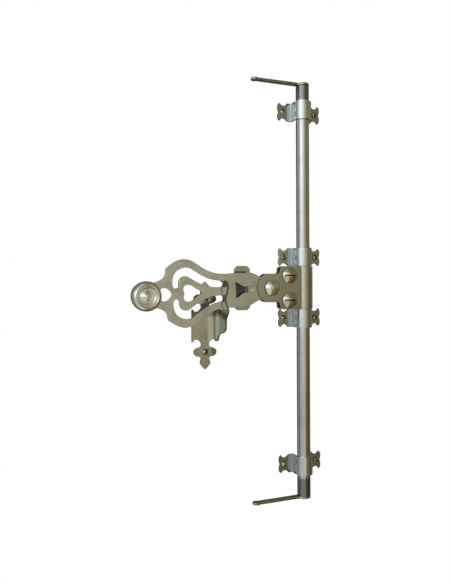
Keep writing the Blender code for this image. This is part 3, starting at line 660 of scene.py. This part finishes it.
def makePivotRivet():
    middle, low, high = centreOf("pivot_rivet")
    sizes = pivotSet
    seat, back = low.y + sizes["crown"], high.y - sizes["tailCrown"]
    profile = brimmedDome(sizes, seat) + [(sizes["head"], seat), (sizes["shank"], seat)]
    profile += [(sizes["shank"], back)]
    profile += domedTail(sizes["tail"], sizes["tailCrown"], back, sizes["tailSteps"])
    bm = spun(profile, (middle.x, 0, middle.z), "y", sizes["steps"])
    markBrim(bm, middle, sizes["head"], seat - sizes["brim"])
    roundEdges(bm, sizes["arris"], sizes["segments"], meshSet["headAngle"])
    finish = makeFinish("pivotRivetFinish", "knobNickel", (middle.x, 0, middle.z))
    finishPiece(bm, "pivotRivet", finish, "pivot_rivet", bodyOf["pivot_rivet"])


# Handle

handleSet = {"arris": 0.00065, "segments": 3}
tongueSet = {
    "arris": 0.0004, "segments": 2,
    # painted shade: the tongue dark where it lies behind the handle plate
    "paintedTones": [{"low": (-0.0840, -0.01, -0.0168), "high": (-0.0672, 0.01, 0.0168), "soft": 0.0004,
                   "colour": (0.12, 0.15, 0.155), "rough": 0.25}],
}
blindRivetSet = {
    "shank": 0.0016, "tail": 0.0027, "tailCrown": 0.0011, "tailSteps": 6,
    "arris": 0.0001, "segments": 2, "steps": 40,
}


def tailedPin(node, sizes):  # a plain shank with a domed tail
    middle, low, high = centreOf(node)
    back = high.y - sizes["tailCrown"]
    profile = [(0, low.y), (sizes["shank"], low.y), (sizes["shank"], back)]
    profile += domedTail(sizes["tail"], sizes["tailCrown"], back, sizes["tailSteps"])
    return spun(profile, (middle.x, 0, middle.z), "y", sizes["steps"]), middle, high


def makeHandle():
    softened("handle_plate", "piercedHandle", "handleNickel", handleSet["arris"], handleSet["segments"])
    softened("tongue", "handleTongue", "satinNickel", tongueSet["arris"], tongueSet["segments"],
             paintedTones=tongueSet["paintedTones"])
    for side in ("upper", "lower"):
        node, name = f"handle_rivet_{side}", f"blindRivet{side.title()}"
        bm, middle, high = tailedPin(node, blindRivetSet)
        roundEdges(bm, blindRivetSet["arris"], blindRivetSet["segments"], meshSet["headAngle"])
        finish = makeFinish(f"{name}Finish", "headNickel", (middle.x, 0, middle.z))
        finishPiece(bm, name, finish, node, bodyOf[node])


# Knob and its screw

knobSet = {
    "steps": 96, "arris": 0.00025, "segments": 2,
    "profile": [  # (radius, depth behind its front)
        (0, 0.0002), (0.0012, 0.0003), (0.0019, 0.0006), (0.0023, 0.0011), (0.0025, 0.0015),
        (0.0033, 0.0018), (0.0043, 0.0024), (0.0053, 0.0031), (0.0062, 0.0038), (0.0068, 0.0041),
        (0.0074, 0.0039), (0.0081, 0.0033), (0.0088, 0.0024), (0.0094, 0.0014), (0.0099, 0.0006),
        (0.0104, 0.0001), (0.0108, 0), (0.0114, 0.0002), (0.0120, 0.0006), (0.0126, 0.0012),
        (0.0131, 0.0019), (0.0135, 0.0026), (0.0138, 0.0034), (0.0140, 0.0044), (0.0140, 0.0092),
        (0.0137, 0.0100), (0.0128, 0.0106), (0.0112, 0.0112), (0.0096, 0.0118), (0.0082, 0.0125),
        (0.0072, 0.0134), (0.0068, 0.0145), (0.0068, 0.0156), (0.0072, 0.0165),
    ],
    "bore": 0.0028, "boreDeep": 0.0092,
}
knobScrewSet = {
    "shank": 0.0025, "tail": 0.0046, "tailCrown": 0.0018, "tailSteps": 8,
    "slotReach": 0.007, "slotDeep": 0.0008, "slotPast": 0.001, "slotWide": 0.001, "slotTurn": 34,
    "arris": 0.00012, "segments": 2, "steps": 48,
}


def makeKnob():
    middle, low, high = centreOf("knob")
    boreEnd = high.y - knobSet["boreDeep"]
    profile = [(radius, low.y + depth) for radius, depth in knobSet["profile"]]
    profile += [(knobSet["bore"], high.y), (knobSet["bore"], boreEnd), (0, boreEnd)]
    bm = spun(profile, (middle.x, 0, middle.z), "y", knobSet["steps"])
    roundEdges(bm, knobSet["arris"], knobSet["segments"], meshSet["knobAngle"])
    finish = makeFinish("turnedKnobFinish", "knobNickel", (middle.x, 0, middle.z))
    finishPiece(bm, "turnedKnob", finish, "knob", bodyOf["knob"])


def makeKnobScrew():
    sizes = knobScrewSet
    bm, middle, high = tailedPin("knob_screw", sizes)
    reach, wide = sizes["slotReach"], sizes["slotWide"] / 2
    low = (middle.x - reach, high.y - sizes["slotDeep"], middle.z - wide)
    past = (middle.x + reach, high.y + sizes["slotPast"], middle.z + wide)
    bm = cutSlot(bm, low, past, math.radians(sizes["slotTurn"]))
    roundEdges(bm, sizes["arris"], sizes["segments"], meshSet["headAngle"])
    finish = makeFinish("knobScrewFinish", "headNickel", (middle.x, 0, middle.z))
    finishPiece(bm, "knobScrew", finish, "knob_screw", bodyOf["knob_screw"])


# Catch

catchSet = {
    "arris": 0.00045, "segments": 3,
    "paintedLightAndShade": [  # painted shade making the wing darker and duller, painted shade inside the fold, painted highlight beside it
        {"low": (-1, -1, -1), "high": (1, 0.0072, 1), "soft": 0.0006,
         "colour": (0.43, 0.435, 0.36), "rough": 0.04},
        {"low": (-0.0995, 0.0052, -1), "high": (1, 0.0076, 1), "soft": 0.0014,
         "colour": (0.22, 0.24, 0.22), "rough": 0.06},
        {"low": (-0.1030, 0.0077, -0.054), "high": (-0.0995, 0.0085, -0.030), "soft": 0.0026,
         "colour": (0.95, 0.94, 0.88), "rough": 0.04},
    ],
}


def makeCatch():
    softened("catch", "leafCatch", "satinNickel", catchSet["arris"], catchSet["segments"],
             paintedTones=catchSet["paintedLightAndShade"])


# Camera and studio

cameraSet = {
    "place": (-0.29295, -0.53452, 0.008),
    "turn": 21.0,  # degrees to the right of straight on
    "roll": 0.24,
    "lens": 35,
    "sensor": 36,
    "shift": -0.020,
    "clip": (0.01, 20),
}

studioSet = {
    "floorDrop": 0.0004,  # below the lowest hook
    "floorSize": 4.0,
    "backdrop": (1.0, 1.0, 1.0),
    "horizon": (-0.25, 0.25),  # heights between which the lower room becomes the upper one
    "ceiling": (0.17, 0.16, 0.12),
    "ceilingShare": 0.72,
    "ceilingFrom": (0.44, 0.60),
    "wall": (0.44, 0.425, 0.32),  # a pale wall straight across from the handle
    "wallToward": (0.20, -1.0, 0.08),
    "wallEdge": (0.930, 0.995),
}

# The room around the object: (degrees to the left of the way the handle faces, the light from there).
# Its window is at the left.
upperRoom = [
    (-180, (0.15, 0.15, 0.14)), (-145, (0.13, 0.125, 0.10)), (-118, (0.24, 0.22, 0.15)),
    (-84, (0.225, 0.21, 0.13)), (-44, (0.22, 0.20, 0.13)), (-28, (0.20, 0.19, 0.125)),
    (-16, (0.25, 0.235, 0.17)), (-6, (0.44, 0.42, 0.34)), (4, (0.70, 0.70, 0.62)),
    (14, (0.82, 0.83, 0.77)), (28, (1.06, 1.12, 1.09)), (50, (1.38, 1.48, 1.48)),
    (66, (1.30, 1.42, 1.47)), (73, (0.76, 0.84, 0.88)), (90, (0.48, 0.54, 0.57)),
    (106, (0.33, 0.36, 0.36)), (120, (0.20, 0.205, 0.20)), (128, (0.56, 0.57, 0.55)),
    (135, (0.52, 0.52, 0.49)), (141, (0.08, 0.08, 0.075)), (168, (0.08, 0.08, 0.075)),
    (180, (0.15, 0.15, 0.14)),
]
lowerRoom = [
    (-180, (0.12, 0.115, 0.10)), (-145, (0.10, 0.09, 0.07)), (-112, (0.21, 0.185, 0.12)),
    (-84, (0.12, 0.10, 0.052)), (-68, (0.07, 0.056, 0.024)), (-50, (0.15, 0.125, 0.06)),
    (-28, (0.17, 0.15, 0.082)), (-13, (0.20, 0.178, 0.11)), (0, (0.54, 0.49, 0.36)),
    (14, (0.66, 0.65, 0.56)), (34, (0.52, 0.55, 0.51)), (60, (0.48, 0.57, 0.59)),
    (84, (0.40, 0.45, 0.48)), (100, (0.24, 0.245, 0.215)), (120, (0.16, 0.145, 0.115)),
    (129, (0.50, 0.49, 0.44)), (136, (0.45, 0.44, 0.40)), (143, (0.07, 0.065, 0.055)),
    (168, (0.07, 0.065, 0.055)), (180, (0.12, 0.115, 0.10)),
]


def makeCamera():
    data = bpy.data.cameras.new("studioCamera")
    data.lens = cameraSet["lens"]
    data.sensor_width = cameraSet["sensor"]
    data.shift_y = cameraSet["shift"]
    data.clip_start, data.clip_end = cameraSet["clip"]
    camera = bpy.data.objects.new("studioCamera", data)
    bpy.context.scene.collection.objects.link(camera)
    turn, roll = math.radians(cameraSet["turn"]), math.radians(cameraSet["roll"])
    ahead = Vector((math.sin(turn), math.cos(turn), 0))
    level = Vector((math.cos(turn), -math.sin(turn), 0))
    up = Vector((0, 0, math.cos(roll))) + math.sin(roll) * level
    right = ahead.cross(up)
    facing = Matrix((right, up, -ahead)).transposed().to_4x4()
    camera.matrix_world = Matrix.Translation(cameraSet["place"]) @ facing
    bpy.context.scene.camera = camera


def roomRing(tree, share, stops):
    ramp = addNode(tree, "ShaderNodeValToRGB", {"Fac": share})
    marks = ramp.color_ramp.elements
    while len(marks) < len(stops):
        marks.new(0.5)
    for mark, (degrees, _) in zip(marks, stops):
        mark.position = (degrees + 180) / 360
    for mark, (_, colour) in zip(marks, stops):
        mark.color = (*colour, 1)
    return ramp.outputs[0]


def makeWorld():
    world = bpy.data.worlds.new("studioWorld")
    bpy.context.scene.world = world
    world.use_nodes = True
    tree = world.node_tree
    tree.nodes.clear()
    direction = addNode(tree, "ShaderNodeTexCoord").outputs["Generated"]
    across, ahead, height = addNode(tree, "ShaderNodeSeparateXYZ", {0: direction}).outputs
    left = math2(tree, "MULTIPLY", across, -1.0)
    near = math2(tree, "MULTIPLY", ahead, -1.0)
    turn = math2(tree, "DIVIDE", math2(tree, "ARCTAN2", left, near), 2 * math.pi)
    share = math2(tree, "ADD", turn, 0.5)
    rise = ramped(tree, height, *studioSet["horizon"])
    colour = mixedColour(tree, rise, roomRing(tree, share, lowerRoom), roomRing(tree, share, upperRoom))
    overhead = ramped(tree, height, *studioSet["ceilingFrom"], 0.0, studioSet["ceilingShare"])
    colour = mixedColour(tree, overhead, colour, studioSet["ceiling"])
    toward = Vector(studioSet["wallToward"]).normalized()
    aim = {0: direction, 1: toward}
    facing = addNode(tree, "ShaderNodeVectorMath", aim, operation="DOT_PRODUCT").outputs[1]
    colour = mixedColour(tree, ramped(tree, facing, *studioSet["wallEdge"]), colour, studioSet["wall"])
    room = addNode(tree, "ShaderNodeBackground", {"Color": colour}).outputs[0]
    seen = addNode(tree, "ShaderNodeBackground", {"Color": (*studioSet["backdrop"], 1)}).outputs[0]
    camera = addNode(tree, "ShaderNodeLightPath").outputs["Is Camera Ray"]
    both = addNode(tree, "ShaderNodeMixShader", {0: camera, 1: room, 2: seen}).outputs[0]
    addNode(tree, "ShaderNodeOutputWorld", {"Surface": both})


def makeFloor():
    bm = bmesh.new()
    bmesh.ops.create_grid(bm, x_segments=1, y_segments=1, size=studioSet["floorSize"] / 2)
    bmesh.ops.translate(bm, verts=bm.verts, vec=(0, 0, cadLow.z - studioSet["floorDrop"]))
    mesh = bpy.data.meshes.new("studioFloor")
    bm.to_mesh(mesh)
    bm.free()
    material = bpy.data.materials.new("paleFloor")
    material.use_nodes = True
    tree = material.node_tree
    tree.nodes.clear()
    pale = addNode(tree, "ShaderNodeEmission", {"Color": (*studioSet["backdrop"], 1)}).outputs[0]
    clear = addNode(tree, "ShaderNodeBsdfTransparent").outputs[0]
    behind = addNode(tree, "ShaderNodeNewGeometry").outputs["Backfacing"]
    both = addNode(tree, "ShaderNodeMixShader", {0: behind, 1: pale, 2: clear}).outputs[0]
    addNode(tree, "ShaderNodeOutputMaterial", {"Surface": both})
    mesh.materials.append(material)
    floor = bpy.data.objects.new("studioFloor", mesh)
    bpy.context.scene.collection.objects.link(floor)
    floor.visible_glossy = floor.visible_diffuse = floor.visible_shadow = False


makeRod()
makeHooks()
print("rod and hooks made")
makeGuides()
makeWoodScrews()
print("guides and their screws made")
makeHub()
print("hub made")
makeHandle()
makeKnob()
makeKnobScrew()
print("handle made")
makeCatch()
print("catch made")
makeCamera()
makeWorld()
makeFloor()
bpy.context.scene.view_settings.view_transform = "Standard"
print("studio made")
